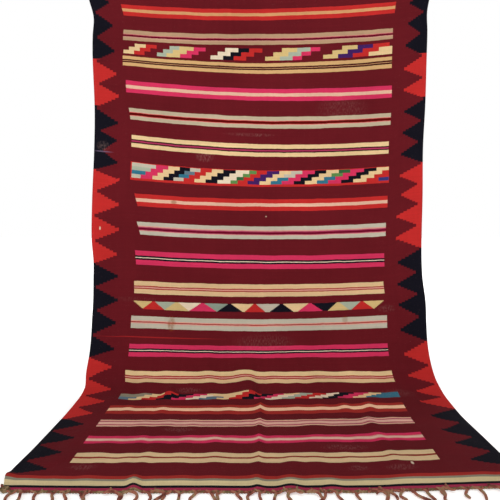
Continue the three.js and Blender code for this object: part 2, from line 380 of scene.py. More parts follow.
def shadeBy(tree, colour, tone):
    shade = addNode(tree, "CombineColor", {0: tone, 1: tone, 2: tone}).outputs[0]
    node = addNode(tree, "Mix", {0: 1.0, 6: colour, 7: shade}, data_type="RGBA", blend_type="MULTIPLY")
    return node.outputs[2]


def ramp(tree, place, stops, smooth=False):
    node = addNode(tree, "ValToRGB", {0: place})
    node.color_ramp.interpolation = "LINEAR" if smooth else "CONSTANT"
    elements = node.color_ramp.elements
    elements.remove(elements[1])
    for k, (position, colour) in enumerate(stops):
        element = elements[0] if k == 0 else elements.new(position)
        element.position = position
        element.color = colour
    return node.outputs[0]


def newGroup(name, inputs, outputs):
    # sockets are plain values, unless a kind stands after the colon
    tree = bpy.data.node_groups.new(name, "ShaderNodeTree")
    for way, sockets in (("INPUT", inputs), ("OUTPUT", outputs)):
        for word in sockets.split():
            socketName, _, kind = word.partition(":")
            tree.interface.new_socket(socketName, in_out=way, socket_type="NodeSocket" + (kind or "Float"))
    return tree, tree.nodes.new("NodeGroupInput").outputs


def closeGroup(tree, **results):
    setInputs(tree, tree.nodes.new("NodeGroupOutput"), results)
    return tree


def useGroup(tree, name, **inputs):
    node = tree.nodes.new("ShaderNodeGroup")
    node.node_tree = groups[name]
    setInputs(tree, node, inputs)
    return node.outputs


def newMaterial(name, values):
    material = bpy.data.materials.new(name)
    material.use_nodes = True
    shader = material.node_tree.nodes["Principled BSDF"]
    for socketName, value in values.items():
        shader.inputs[socketName].default_value = value
    return material, material.node_tree, shader


def inside(tree, value, low, high):
    above = calc(tree, "GREATER_THAN", value, low)
    return times(tree, above, calc(tree, "LESS_THAN", value, high))


# A woven band: whether a place is on it, and how far up the band it is
def makeBandGroup():
    tree, given = newGroup("wovenBand", "Across Along Left Right Middle Height", "Mask Up")
    up = calc(tree, "DIVIDE", minus(tree, given["Along"], given["Middle"]), given["Height"])
    up = plus(tree, up, 0.5)
    mask = times(tree, inside(tree, up, 0.0, 1.0),
                inside(tree, given["Across"], given["Left"], given["Right"]))
    return closeGroup(tree, Mask=mask, Up=up)


# Side teeth: a wave of stepped triangles counted by phase, between the depths of notch and tip
def makeTeethGroup():
    tree, given = newGroup("sideTeeth", "Phase Inset Notch Tip Steps", "Mask")
    saw = calc(tree, "MULTIPLY_ADD", calc(tree, "FRACT", given["Phase"]), 2.0, -1.0)
    wave = minus(tree, 1.0, calc(tree, "ABSOLUTE", saw))
    levels = calc(tree, "FLOOR", times(tree, wave, plus(tree, given["Steps"], 1.0)))
    stepped = calc(tree, "DIVIDE", levels, given["Steps"], clampIt=True)
    depth = calc(tree, "MULTIPLY_ADD", minus(tree, given["Tip"], given["Notch"]),
                 stepped, given["Notch"])
    return closeGroup(tree, Mask=calc(tree, "LESS_THAN", given["Inset"], depth))


# A row of cells that moves sideways from one woven row to the next
def makeSteppedGroup():
    tree, given = newGroup("steppedCells", "Across Up Rows Left Width Shift Growth", "Place Row")
    row = calc(tree, "FLOOR", times(tree, given["Up"], given["Rows"]))
    fromLeft = minus(tree, given["Across"], given["Left"])
    shift = calc(tree, "MULTIPLY_ADD", fromLeft, given["Growth"], given["Shift"])
    moved = minus(tree, fromLeft, times(tree, shift, row))
    return closeGroup(tree, Place=calc(tree, "DIVIDE", moved, given["Width"], clampIt=True), Row=row)


# A triangle that stands on its woven row, its tip a little cut off by the row's upper edge
def makeTriangleGroup():
    tree, given = newGroup("wovenTriangle", "Across Up Middle Half", "Mask")
    off = calc(tree, "ABSOLUTE", minus(tree, given["Across"], given["Middle"]))
    room = times(tree, given["Half"], minus(tree, 1.06, given["Up"]))
    return closeGroup(tree, Mask=calc(tree, "LESS_THAN", off, room))


# A worn, dusty or stained place: solid where Cover is low, only flecks where it is high
def makeMarkGroup():
    tree, given = newGroup("softMark", "Place:Vector Middle:Vector Size:Vector Cover Grain", "Mask")
    off = addNode(tree, "VectorMath", {0: given["Place"], 1: given["Middle"]}, operation="SUBTRACT")
    scaled = addNode(tree, "VectorMath", {0: off.outputs[0], 1: given["Size"]}, operation="DIVIDE")
    reach = addNode(tree, "VectorMath", {0: scaled.outputs[0]}, operation="LENGTH").outputs["Value"]
    soft = times(tree, minus(tree, 1.0, reach), 2.0, clampIt=True)
    # the dust clings to the ribs, so its flecks are drawn out along them
    drawnOut = addNode(tree, "VectorMath", {0: given["Place"], 1: (1.0, 0.35, 1.0)}, operation="MULTIPLY")
    grain = noiseOf(tree, drawnOut.outputs[0], given["Grain"], 3.0, 0.7)
    flecks = times(tree, minus(tree, grain, given["Cover"]), 3.0, clampIt=True)
    return closeGroup(tree, Mask=times(tree, soft, flecks))


# Wool: hairy, mottled colour and a fine raised fibre, for the cloth and for the yarns
def makeFibreGroup():
    tree, given = newGroup(
        "woolFibre", "Place:Vector Colour:Color Mottle Size", "Colour:Color Height")
    coarse = noiseOf(tree, given["Place"], given["Size"], 4.0, 0.65)
    tone = plus(tree, swing(tree, coarse, given["Mottle"]), 1.0)
    return closeGroup(tree, Colour=shadeBy(tree, given["Colour"], tone), Height=coarse)


# Weft-faced weave: rounded ribs over the warps, crossed by fine wefts that alternate from rib to rib
# the shade it gives out is painted light: darker between the ribs, a painted highlight on their crests,
# multiplied into the colour
weave = {
    "rib": 0.0042,
    "weft": 0.0014,
    "ribShare": 0.65,         # of the relief; the wefts make the rest
    "driftSize": 45.0,
    "drift": 0.0035,          # how far the ribs wander
    "paintedShadeLow": 0.84,         # painted shade between the ribs, and how much lighter the painted highlight on their crests is
    "paintedHighlightGain": 0.22,
    "paintedShadeCurve": 0.6,
}


def makeWeaveGroup():
    tree, given = newGroup("weftFacedWeave", "Across Along", "Height Shade")
    place = addNode(tree, "CombineXYZ", {0: given["Across"], 1: given["Along"]}).outputs[0]
    drift = swing(tree, noiseOf(tree, place, weave["driftSize"], 2.0), weave["drift"])
    ribPhase = calc(tree, "DIVIDE", plus(tree, given["Across"], drift), weave["rib"])
    isOdd = times(tree, calc(tree, "MODULO", calc(tree, "FLOOR", ribPhase), 2.0), 0.5)
    weftPhase = plus(tree, calc(tree, "DIVIDE", given["Along"], weave["weft"]), isOdd)
    height = 0.0
    for phase, share in ((ribPhase, weave["ribShare"]), (weftPhase, 1 - weave["ribShare"])):
        wave = calc(tree, "ABSOLUTE", calc(tree, "SINE", times(tree, phase, math.pi)))
        height = calc(tree, "MULTIPLY_ADD", wave, share, height)
    # painted shade for the colour: darker between the ribs, a painted highlight on the crests
    shade = calc(tree, "MULTIPLY_ADD", calc(tree, "POWER", height, weave["paintedShadeCurve"]),
                 weave["paintedHighlightGain"], weave["paintedShadeLow"])
    return closeGroup(tree, Height=height, Shade=shade)


groups = {
    "band": makeBandGroup(),
    "teeth": makeTeethGroup(),
    "stepped": makeSteppedGroup(),
    "triangle": makeTriangleGroup(),
    "mark": makeMarkGroup(),
    "fibre": makeFibreGroup(),
    "weave": makeWeaveGroup(),
}
print("shader groups made")

# The pattern is in centimetres. Plain bands: middle from the front end, height, both ends, how much
# the left end slants, and threads from the top down as shares of a hundred.
cm = 0.01
bands = chart("middle height left right slant threads", [
    (296.5, 5.6, -65.3, 64, 0, "38 cream 7 umber 10 orchid 7 umber 38 cream"),
    (285, 5.4, -65.3, 64.3, 0, "36 rose 28 shell 36 rose"),
    (273.3, 5.3, -65.1, 64.4, 0, "36 red 28 apricot 36 red"),
    (261.6, 5.1, -65.3, 63.6, 0, "36 fawn 7 pink 19 wine 5 blush 33 fawn"),
    (247.9, 4.9, -65.4, 63.4, 0, "34 honey 9 umber 6 madder 3 flax 6 madder 9 umber 33 honey"),
    (235.5, 5.7, -64.3, 63.7, 0, "36 rose 28 shell 36 rose"),
    (222.2, 5.7, -62.9, 63.6, 0.15, "32 oat 5 blush 4 red 20 oxblood 4 red 5 blush 30 oat"),
    (208.8, 5.9, -61.8, 63.3, 0, "35 cream 10 umber 12 orchid 10 umber 33 cream"),
    (182.1, 5.8, -58.6, 63.1, 0.31, "36 red 28 shell 36 red"),
    (168.3, 6.4, -57, 62.6, 0.3, "30 ash 9 blush 8 orchid 14 wine 6 orchid 5 blush 28 ash"),
    (153.6, 6.9, -59, 61.9, 0, "35 rose 12 black 6 white 12 black 35 rose"),
    (139, 6.2, -59.9, 60.9, 0, "37 biscuit 8 brick 10 blush 8 brick 37 biscuit"),
    (121.5, 6, -61.1, 61.2, 0, "38 ash 8 blush 8 brick 8 blush 38 ash"),
    (107.9, 6.2, -61.3, 61, 0, "35 rose 12 black 6 white 12 black 35 rose"),
    (93.7, 7.1, -61.7, 60.7, 0, "36 cream 10 brick 9 blush 10 brick 35 biscuit"),
    (66.3, 8.6, -64, 59.4, 0, "28 brick 34 salmon 38 brick"),
    (52.5, 6.7, -64, 59, 0, "17 shell 11 orchid 12 blush 20 pearl 12 blush 11 orchid 17 shell"),
    (37.4, 6.4, -64, 58.2, 0, "32 rose 10 blush 18 pearl 9 blush 31 rose"),
    (22.3, 7.2, -63.4, 57.8, 0, "41 straw 16 rust 43 straw"),
])

# A thin red line runs under and over the fullest row of cells
lineUnder = {"middle": 195.1, "height": 8.0, "left": -61.8, "right": 63.7, "dye": "red"}

# Rows of stepped cells: dyes from the left in the lowest woven row, each with the place where it
# ends, and by row the cells that change their dye further up
steppedRows = chart("middle height left right rows shift growth cells changes", [
    (254.5, 5.8, -65.5, 63.4, 3, 2.6, 0.018,
     "madder -65.2 cream -60.2 red -55.1 madder -49.3 sage -44.4 flax -37.9 rose -32.6 madder -23.6 "
     "white -17.6 black -12.5 red -6.5 madder 2.5 flax 9.7 sage 16.0 rose 20.3 madder 30.4 flax 37.4 "
     "plum 44.4 red 52.0 cream 63.5",
     {2: "19 madder"}),
    (195.5, 6.6, -61.2, 63.6, 4, 2.3, 0.012,
     "ash -57.1 rose -51.0 cream -45.6 black -40.8 ash -35.9 red -30.5 cream -25.4 black -19.3 "
     "white -13.4 leaf -9.6 red -4.9 plum 0.9 cream 6.5 teal 11.9 rose 17.5 black 23.1 cream 28.9 "
     "teal 34.2 rose 40.5 black 46.3 cream 52.4 red 58.4 indigo 63.7",
     {1: "0 teal 4 teal 9 fern 22 red", 2: "0 sage 4 slate 9 leaf 13 ash 17 leaf 22 red",
      3: "0 ash 4 ash 9 leaf 13 ash 17 fern 21 cream"}),
    (79.0, 5.2, -62.5, 60.0, 4, 3.3, -0.0075,
     "slate -58.4 cream -52.8 red -46.4 black -39.8 rose -33.5 white -27.6 slate -20.2 cream -15.1 "
     "red -9.3 black -3.9 rose 1.1 white 8.2 sage 13.8 red 19.9 white 25.8 black 32.3 rose 39.3 "
     "cream 45.1 teal 59.6",
     {2: "0 mist 6 cream", 3: "0 mist 6 cream 5 cream 11 cream"}),
])

# The row of triangles: those that stand up, and the ground between them from the left
triangleRow = {
    "middle": 130.2, "height": 4.1, "left": -60.8, "right": 60.6, "steps": 9,
    "cells": "flax -50.4 sage -39.4 white -26.9 moss -13.9 cream -1.8 ash 11 cream 24.7 black 38.2 "
             "sage 49.6 flax 61",
    "triangles": chart("middle half dye", [
        (-50.6, 4.9, "red"), (-39.4, 5.4, "flax"), (-26.9, 6, "rose"), (-13.9, 5.5, "black"),
        (-1.8, 4.5, "red"), (11, 5.2, "black"), (24.7, 5.4, "rose"), (38.2, 4.6, "flax"),
        (49.6, 4.8, "red"), (-61, 5, "madder"), (60.8, 5, "madder"),
    ]),
}

# Side borders: the place of each tooth's tip from the front end and how deep it reaches in, the
# depth of the notches from the front end on, and how many teeth in a row share a dye
borders = {
    "steps": 6,
    "left": {
        "front": 10,
        "teeth": "14:10.8 26:11 38:11.2 51.5:10.4 61.2:10.8 74.2:12 85.5:12 99:11.5 108.2:11.5 "
                 "121.2:11.5 132.2:12 144:12 155:11.8 167.2:13.4 179.6:13 191.7:13 200.2:11.6 210.9:11 "
                 "219.3:11.4 232.3:12 242.8:11.2 253.7:10.6 265.5:9.2 276.6:9.2 288:10 300:10",
        "notches": "1.5 2.4 1.6 1.2 2.4 3.4 2.4 1.6 1.2 1 2.4 1.4 1.2 1.8 1.4 2.4 1.4 4.6 3.2 1.2 2.8 2 "
                   "2.4 1.5 1.5 1.5 1.5",
    },
    "right": {
        "front": 13.6,
        "teeth": "18.1:11.9 31.3:12.5 43.9:13 59.8:12.1 74.9:12.4 84.6:11.4 94.8:12 106.2:11.6 "
                 "117.9:12.4 129.9:13 140:12.4 150.5:11.6 162.7:12.4 173.2:12.4 183.4:10.2 192.6:11 "
                 "203.1:10.6 213.2:10.2 223.2:10 233.7:10.5 243.6:10.6 254.6:10.2 264.7:9 274.1:9 "
                 "285:10 297:10",
        "notches": "1.5 3.2 4.5 4.1 1.2 2.4 2 1.6 1.6 3.8 3.8 3.2 1.2 2.8 2.4 2.8 1 2.8 2 1.2 2 2.4 3.6 "
                   "2 2 2 2",
    },
    "runs": "4 black 4 red 4 black 4 red 3 black 2 red 5 black 1 red",
}

# Plain stripes along both ends, from the outer edge inwards
endStripes = chart("to dye", [
    (2, "cerise"), (3.4, "black"), (6.3, "sand"), (7.5, "mist"), (9.5, "brick"),
])

# Dusty places, the other wear and stains, and stray lint over all of it
dustFlecks = {"dye": "dust", "cover": 0.44, "grain": 170}
dusty = chart("across along wide high strength", [
    (-26, 204.6, 5, 3, 0.38), (-4, 216.2, 14, 1, 0.24), (-75.5, 207.6, 3.6, 3, 0.34),
    (34.5, 138.6, 3.4, 1.2, 0.2), (-59, 132.8, 13, 1.8, 0.08), (61, 128, 5, 2.4, 0.17),
    (-32, 46, 7, 2.6, 0.24), (28, 30, 9, 2.6, 0.22), (-58, 15.5, 5, 2.4, 0.24),
    (44, 14.2, 6, 2.2, 0.24), (30, 14.5, 4, 2, 0.24), (3, 112.5, 16, 5, 0.17),
    (40, 228, 14, 7, 0.14), (-33, 85, 7, 2.6, 0.24), (58, 80, 10, 5, 0.2),
])
marks = [dict(place, **dustFlecks) for place in dusty]
marks += chart("dye across along wide high strength cover grain", [
    ("mauve", -75.5, 205.1, 5.6, 0.4, 0.5, 0, 40),
    ("white", -75.8, 167.4, 0.5, 1.1, 0.85, 0, 60),
    ("white", 4.7, 176.4, 0.5, 0.4, 0.6, 0, 60),
    ("white", 7.9, 118.8, 0.5, 0.4, 0.8, 0, 60),
    ("white", 48.1, 17, 0.6, 1.3, 0.85, 0, 60),
    ("stain", -41.6, 121.3, 2.2, 4.2, 0.8, 0.3, 60),
    ("stain", 41.3, 123.4, 1.8, 2, 0.35, 0.1, 60),
    ("stain", -40.2, 182.2, 1.8, 1.2, 0.55, 0.1, 70),
    ("red", -47, 114.3, 34, 0.4, 0.5, 0, 20),
])
lint = {"size": 300.0, "cover": 0.73, "sharp": 14.0, "strength": 0.30}

clothFinish = {
    "sockets": {"Roughness": 0.95, "Specular IOR Level": 0.05, "Sheen Weight": 0.01},
    "bumpHeight": 0.0009,
    "bumpStrength": 0.7,
    "abrash": 0.32,           # swing of the tone from dye lot to dye lot
    "fade": 0.44,             # in soft patches
    "strain": 0.12,           # and along the warps
    "slowWander": 0.0066,     # how far woven lines stray, slowly and quickly
    "quickWander": 0.0022,
    "endWander": 0.4,         # share of the slow wander in the end stripes
    "mottle": 0.35,
    "fibreSize": 420.0,
    "fibreRelief": 0.5,
    "cordedEdge": 0.007,      # the thicker selvedge: width, and height beside the ribs
    "edgeRelief": 1.5,
}


def pairs(text):
    words = text.split()
    return list(zip(words[::2], words[1::2]))


def threadStops(threads):
    # shares from the top down become ramp stops from the bottom up
    stops = []
    start = 0.0
    for share, name in reversed(pairs(threads)):
        stops.append((start, dye(name)))
        start += float(share) / 100
    return stops


def cellStops(row, changes=""):
    # where each cell starts, as a part of the row
    changed = dict(pairs(changes))
    stops = []
    start = row["left"]
    for k, (name, end) in enumerate(pairs(row["cells"])):
        part = clamp((start - row["left"]) / (row["right"] - row["left"]))
        stops.append((part, dye(changed.get(str(k), name))))
        start = float(end)
    return stops


def toothList(text):
    return [tuple(float(part) for part in word.split(":")) for word in text.split()]


def grey(value):
    return (value, value, value, 1)


def phaseOf(tree, along, front, tips):
    # the tooth count rises by one from tip to tip, and is whole where two teeth meet
    count = len(tips) + 1
    length = rug["length"]
    stops = [(0.0, grey(0.0)), (front * cm / length, grey(0.0))]
    stops += [(tip * cm / length, grey((k + 0.5) / count)) for k, tip in enumerate(tips)]
    stops.append((1.0, grey((len(tips) + 0.5) / count)))
    return ramp(tree, calc(tree, "DIVIDE", along, length), stops, smooth=True), count


def depthStops(depths, start, count):
    # one level for each tooth or notch, in metres
    return [(0.0 if k == 0 else (k + start) / count, grey(depth * cm)) for k, depth in enumerate(depths)]


def runStops(count):
    stops = []
    start = 0.0
    for teeth, name in pairs(borders["runs"]):
        stops.append((start / count, dye(name)))
        start += float(teeth)
    return stops


def placeOn(tree, across, along, row, left=None):
    return useGroup(tree, "band", Across=across, Along=along,
                    Left=row["left"] * cm if left is None else left, Right=row["right"] * cm,
                    Middle=row["middle"] * cm, Height=row["height"] * cm)


def weaveTeeth(tree, across, along, colour):
    half = rug["width"] / 2
    insets = {"left": plus(tree, across, half), "right": minus(tree, half, across)}
    for side, inset in insets.items():
        border = borders[side]
        teeth = toothList(border["teeth"])
        notches = [float(word) for word in border["notches"].split()]
        part, count = phaseOf(tree, along, border["front"], [tip for tip, _ in teeth])
        tooth = useGroup(tree, "teeth", Phase=times(tree, part, count), Inset=inset,
                         Notch=ramp(tree, part, depthStops(notches, -0.5, count)),
                         Tip=ramp(tree, part, depthStops([depth for _, depth in teeth], 0.0, count)),
                         Steps=borders["steps"])
        isWoven = calc(tree, "GREATER_THAN", along, border["front"] * cm)
        mask = times(tree, tooth["Mask"], isWoven)
        colour = over(tree, mask, colour, ramp(tree, part, runStops(count)))
    return colour


def weaveBands(tree, across, along, colour):
    for band in bands:
        left = band["left"] * cm
        if band["slant"]:
            atMiddle = left + band["middle"] * cm * band["slant"]
            left = calc(tree, "MULTIPLY_ADD", along, -band["slant"], atMiddle)
        place = placeOn(tree, across, along, band, left)
        colour = over(tree, place["Mask"], colour, ramp(tree, place["Up"], threadStops(band["threads"])))
    return colour


def weaveCells(tree, across, along, colour):
    line = placeOn(tree, across, along, lineUnder)
    colour = over(tree, line["Mask"], colour, dye(lineUnder["dye"]))
    for row in steppedRows:
        place = placeOn(tree, across, along, row)
        step = useGroup(tree, "stepped", Across=across, Up=place["Up"], Rows=row["rows"],
                        Left=row["left"] * cm, Width=(row["right"] - row["left"]) * cm,
                        Shift=row["shift"] * cm, Growth=row["growth"])
        rowColour = ramp(tree, step["Place"], cellStops(row))
        for level in range(1, row["rows"]):
            tint = ramp(tree, step["Place"], cellStops(row, row["changes"].get(level, "")))
            rowColour = over(tree, calc(tree, "GREATER_THAN", step["Row"], level - 0.5), rowColour, tint)
        colour = over(tree, place["Mask"], colour, rowColour)
    return colour


def weaveTriangles(tree, across, along, colour):
    row = triangleRow
    place = placeOn(tree, across, along, row)
    fromLeft = minus(tree, across, row["left"] * cm)
    part = calc(tree, "DIVIDE", fromLeft, (row["right"] - row["left"]) * cm)
    rowColour = ramp(tree, part, cellStops(row))
    steps = row["steps"]
    stepUp = calc(tree, "DIVIDE", calc(tree, "FLOOR", times(tree, place["Up"], steps)), steps)
    for triangle in row["triangles"]:
        shape = useGroup(tree, "triangle", Across=across, Up=stepUp,
                         Middle=triangle["middle"] * cm, Half=triangle["half"] * cm)
        rowColour = over(tree, shape["Mask"], rowColour, dye(triangle["dye"]))
    return over(tree, place["Mask"], colour, rowColour)


def weaveEnds(tree, along, wander, colour):
    fromEnd = calc(tree, "MINIMUM", along, minus(tree, rug["length"], along))
    fromEnd = plus(tree, fromEnd, times(tree, wander, clothFinish["endWander"]))
    span = endStripes[-1]["to"]
    starts = [0.0] + [stripe["to"] for stripe in endStripes]
    stops = [(start / span, dye(stripe["dye"])) for start, stripe in zip(starts, endStripes)]
    tint = ramp(tree, calc(tree, "DIVIDE", fromEnd, span * cm), stops)
    return over(tree, calc(tree, "LESS_THAN", fromEnd, span * cm), colour, tint)


def ageDyes(tree, flat, paintedShadeOfRibs, colour):
    # dye lots change from weft to weft, the colour has faded in soft patches and along the warps, and
    # painted shade darkens it between the ribs and lightens their crests
    weftWise = addNode(tree, "Mapping", {"Vector": flat, "Scale": (1.2, 60.0, 1.0)}).outputs[0]
    warpWise = addNode(tree, "Mapping", {"Vector": flat, "Scale": (60.0, 1.6, 1.0)}).outputs[0]
    tone = plus(tree, 1.0, swing(tree, noiseOf(tree, weftWise, 2.0, 4.0, 0.7), clothFinish["abrash"]))
    tone = plus(tree, tone, swing(tree, noiseOf(tree, flat, 3.2, 5.0, 0.6), clothFinish["fade"]))
    tone = plus(tree, tone, swing(tree, noiseOf(tree, warpWise, 1.0, 2.0), clothFinish["strain"]))
    # the dye tones times the weave's painted shade and highlight
    return shadeBy(tree, colour, times(tree, tone, paintedShadeOfRibs))


def addWear(tree, flat, colour):
    for mark in marks:
        spot = useGroup(tree, "mark", Place=flat,
                        Middle=(mark["across"] * cm, mark["along"] * cm, 0),
                        Size=(mark["wide"] * cm, mark["high"] * cm, 1),
                        Cover=mark["cover"], Grain=mark["grain"])
        colour = over(tree, times(tree, spot["Mask"], mark["strength"]), colour, dye(mark["dye"]))
    stray = minus(tree, noiseOf(tree, flat, lint["size"], 1.0), lint["cover"])
    stray = times(tree, stray, lint["sharp"], clampIt=True)
    return over(tree, times(tree, stray, lint["strength"]), colour, dye("dust"))


def finishWool(tree, shader, look, place, colour, relief):
    # hairy fibre over the colour and on top of the relief
    fibre = useGroup(tree, "fibre", Place=place, Colour=colour, Mottle=look["mottle"],
                     Size=look["fibreSize"])
    tree.links.new(fibre["Colour"], shader.inputs["Base Color"])
    height = calc(tree, "MULTIPLY_ADD", fibre["Height"], look["fibreRelief"], relief)
    bump = addNode(tree, "Bump", {"Height": height, "Distance": look["bumpHeight"],
                                  "Strength": look["bumpStrength"]})
    tree.links.new(bump.outputs[0], shader.inputs["Normal"])


def makeClothMaterial():
    look = clothFinish
    material, tree, shader = newMaterial("woolWeave", look["sockets"])
    flat = addNode(tree, "UVMap", uv_map="flatCloth").outputs[0]
    parts = addNode(tree, "SeparateXYZ", {0: flat}).outputs
    relief = useGroup(tree, "weave", Across=parts[0], Along=parts[1])

    # hand-woven lines wander a little
    wander = swing(tree, noiseOf(tree, flat, 9.0, 2.0), look["slowWander"])
    fine = swing(tree, noiseOf(tree, flat, 70.0, 1.0), look["quickWander"])
    along = plus(tree, plus(tree, parts[1], wander), fine)
    across = plus(tree, parts[0], fine)

    colour = weaveTeeth(tree, across, along, dye("madder"))
    colour = weaveBands(tree, across, along, colour)
    colour = weaveCells(tree, across, along, colour)
    colour = weaveTriangles(tree, across, along, colour)
    colour = weaveEnds(tree, parts[1], wander, colour)
    # the colour gets the dye tones and the weave's painted rib shade, then the wear
    colour = addWear(tree, flat, ageDyes(tree, flat, relief["Shade"], colour))

    # relief: ribs and wefts, and a thicker corded selvedge
    inset = minus(tree, rug["width"] / 2, calc(tree, "ABSOLUTE", across))
    edge = calc(tree, "DIVIDE", inset, look["cordedEdge"], clampIt=True)
    rim = calc(tree, "MULTIPLY_ADD", edge, 2.0, -1.0)
    rimRise = minus(tree, 1.0, calc(tree, "ABSOLUTE", rim))
    height = calc(tree, "MULTIPLY_ADD", rimRise, look["edgeRelief"], relief["Height"])
    finishWool(tree, shader, look, flat, colour, height)
    return material


clothMesh = makeCloth()

# the frame says where the cloth's front end and middle are
clothLow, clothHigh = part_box("cloth")
xs = [v.co.x for v in clothMesh.verts]
shift = Vector((
    (clothLow.x + clothHigh.x - min(xs) - max(xs)) / 2,
    clothLow.y - min(v.co.y for v in clothMesh.verts),
    0,
))
cloth = finishPiece("clothSheet", clothMesh, makeClothMaterial(), shift)
print("cloth hung")


# Fringe: the twined cord along the front end, and the plied warp ends
cord = {
    "radius": 0.0045,
    "gap": 0.0003,
    "ply": 0.0026,
    "plyOff": 0.0020,
    "pitch": 0.017,
    "stepsPerTurn": 8,
    "bends": 160,
    "wrapAlong": (0.036, 0.018, 0.002),
    "cornerPart": 0.8,
    "curlOut": 0.002,
    "curlBack": 0.003,
    "curlRadius": 0.016,
    "curlTurns": 1.4,
    "curlBends": 40,
    "curlTighter": 0.35,      # towards its end the curl is this much tighter,
    "curlFlatter": 0.8,       # all of it is flatter from front to back,
    "curlLift": 1.3,          # and its end lies this many radii higher
}
yarn = {
    "count": 40,
    "plies": 4,
    "ply": 0.0024,
    "plyOff": 0.0026,
    "pitch": 0.024,
    "stepsPerTurn": 8,
    "shortest": 0.070,
    "longest": 0.105,
    "rootSwell": 0.35,        # thicker by this share at the root, thinner by this share at the tip
    "swellOver": 0.20,
    "tipThin": 0.40,
    "thinFrom": 0.85,
    "stray": 0.34,            # of the room that each yarn has along the edge
    "rootSpread": 0.0095,     # the plies leave the cord apart
    "spreadRange": (0.6, 1.3),
    "gather": 0.020,          # and meet after this length
    "lyingShare": 0.26,       # these run along the cord first
    "lyingLean": (1.0, 1.3),
    "lyingRise": 0.005,
    "turnFrom": 0.25,         # then turn away, over this part of their length
    "turnOver": 0.45,
    "lean": 0.22,
    "swing": (0.15, 0.6),
    "turns": (0.6, 1.3),
    "rises": (0.0, 0.0, 0.003),
    "step": 0.002,
    "rootIn": 0.003,
    "dropOver": 0.022,
    "edgeSpare": 0.012,
    "clear": 0.0002,          # between a lying yarn and the floor
}


def cordMiddle(across):
    edge = clothPoint(across, 0, 0)
    return Vector((edge.x, edge.y - cord["gap"] - cord["radius"], edge.z + cord["radius"])) + shift


def cordPath():
    half = rug["width"] / 2
    clear = cord["gap"] + cord["radius"]
    points = []
    for along in cord["wrapAlong"]:
        edge = clothPoint(-half, along, 0) + shift
        points.append(Vector((edge.x - clear, edge.y, cord["radius"])))
    corner = clothPoint(-half, 0, 0) + shift
    offCorner = clear * cord["cornerPart"]
    points.append(Vector((corner.x - offCorner, corner.y - offCorner, cord["radius"])))
    count = cord["bends"]
    points += [cordMiddle(between(-half, half, k / count)) for k in range(1, count + 1)]
    return points


def curlPath():
    # the cord's loose end, curled up beside the left corner
    corner = clothPoint(-rug["width"] / 2, 0, 0) + shift
    middle = Vector((corner.x - cord["curlOut"], corner.y + cord["curlBack"], 0))
    points = []
    for k in range(cord["curlBends"] + 1):
        part = k / cord["curlBends"]
        turned = cord["curlTurns"] * 2 * math.pi * part
        reach = cord["curlRadius"] * (1 - cord["curlTighter"] * part)
        height = cord["radius"] * (1 + cord["curlLift"] * part)
        points.append(middle + Vector((math.sin(turned) * reach,
                                       -math.cos(turned) * reach * cord["curlFlatter"], height)))
    return points


def resample(points, step):
    # points at an even spacing along a bent line
    out = [points[0]]
    spare = step
    for a, b in zip(points, points[1:]):
        length = (b - a).length
        walked = spare
        while walked <= length:
            out.append(a.lerp(b, walked / length))
            walked += step
        spare = walked - length
    return out


def plySpline(curve, line, aside, off, steps, turnAt, radius):
    # one ply winds round an evenly stepped middle line
    spline = curve.splines.new("POLY")
    spline.points.add(len(line) - 1)
    for k, p in enumerate(line):
        a, b = line[max(k - 1, 0)], line[min(k + 1, len(line) - 1)]
        forward = (b - a).normalized()
        sideways = forward.cross(Vector((0, 0, 1))).normalized()
        upward = sideways.cross(forward)
        angle = turnAt + 2 * math.pi * k / steps
        spot = p + sideways * aside(k) + (sideways * math.cos(angle) + upward * math.sin(angle)) * off
        spline.points[k].co = (*spot, 1)
        spline.points[k].radius = radius(k / max(len(line) - 1, 1))


def newCurve(name, thick, resolution):
    curve = bpy.data.curves.new(name, "CURVE")
    curve.dimensions = "3D"
    curve.bevel_depth = thick
    curve.bevel_resolution = resolution
    curve.use_fill_caps = True
    return curve


def curvePiece(name, curve, material):
    holder = bpy.data.objects.new(name + "Curve", curve)
    mesh = bpy.data.meshes.new_from_object(holder)
    bpy.data.objects.remove(holder)
    return addPiece(name, mesh, material)


yarnFinish = {
    "sockets": {"Roughness": 0.95, "Specular IOR Level": 0.1, "Sheen Weight": 0.05},
    "mottle": 0.8,
    "fibreSize": 900.0,
    "fibreRelief": 1.0,
    "bumpHeight": 0.0006,
    "bumpStrength": 0.6,
    "blotches": (0.36, 0.50, 0.66),    # where the dark, light and tan wool lie in the noise
}


def makeYarnMaterial(name, dark, light, size):
    look = yarnFinish
    material, tree, shader = newMaterial(name, look["sockets"])
    place = addNode(tree, "TexCoord").outputs["Object"]
    tints = [dye(dark), dye(light), dye("cordTan")]
    tint = ramp(tree, noiseOf(tree, place, size, 2.0), zip(look["blotches"], tints), smooth=True)
    finishWool(tree, shader, look, place, tint, 0.0)
    return material


cordCurve = newCurve("endCord", cord["ply"], 1)
for path in (cordPath(), curlPath()):
    cordLine = resample(path, cord["pitch"] / cord["stepsPerTurn"])
    for turnAt in (0, math.pi):
        plySpline(cordCurve, cordLine, lambda k: 0.0, cord["plyOff"], cord["stepsPerTurn"], turnAt,
                  lambda part: 1.0)
endCord = curvePiece("endCord", cordCurve, makeYarnMaterial("twinedCord", "cordRed", "cordOlive", 55.0))
print("cord twined")


def yarnSwell(part):
    # a yarn is thicker where it leaves the cord and thinner at its loose end
    atTip = smoothStep((part - yarn["thinFrom"]) / (1 - yarn["thinFrom"]))
    return 1 + yarn["rootSwell"] * (1 - smoothStep(part / yarn["swellOver"])) - yarn["tipThin"] * atTip


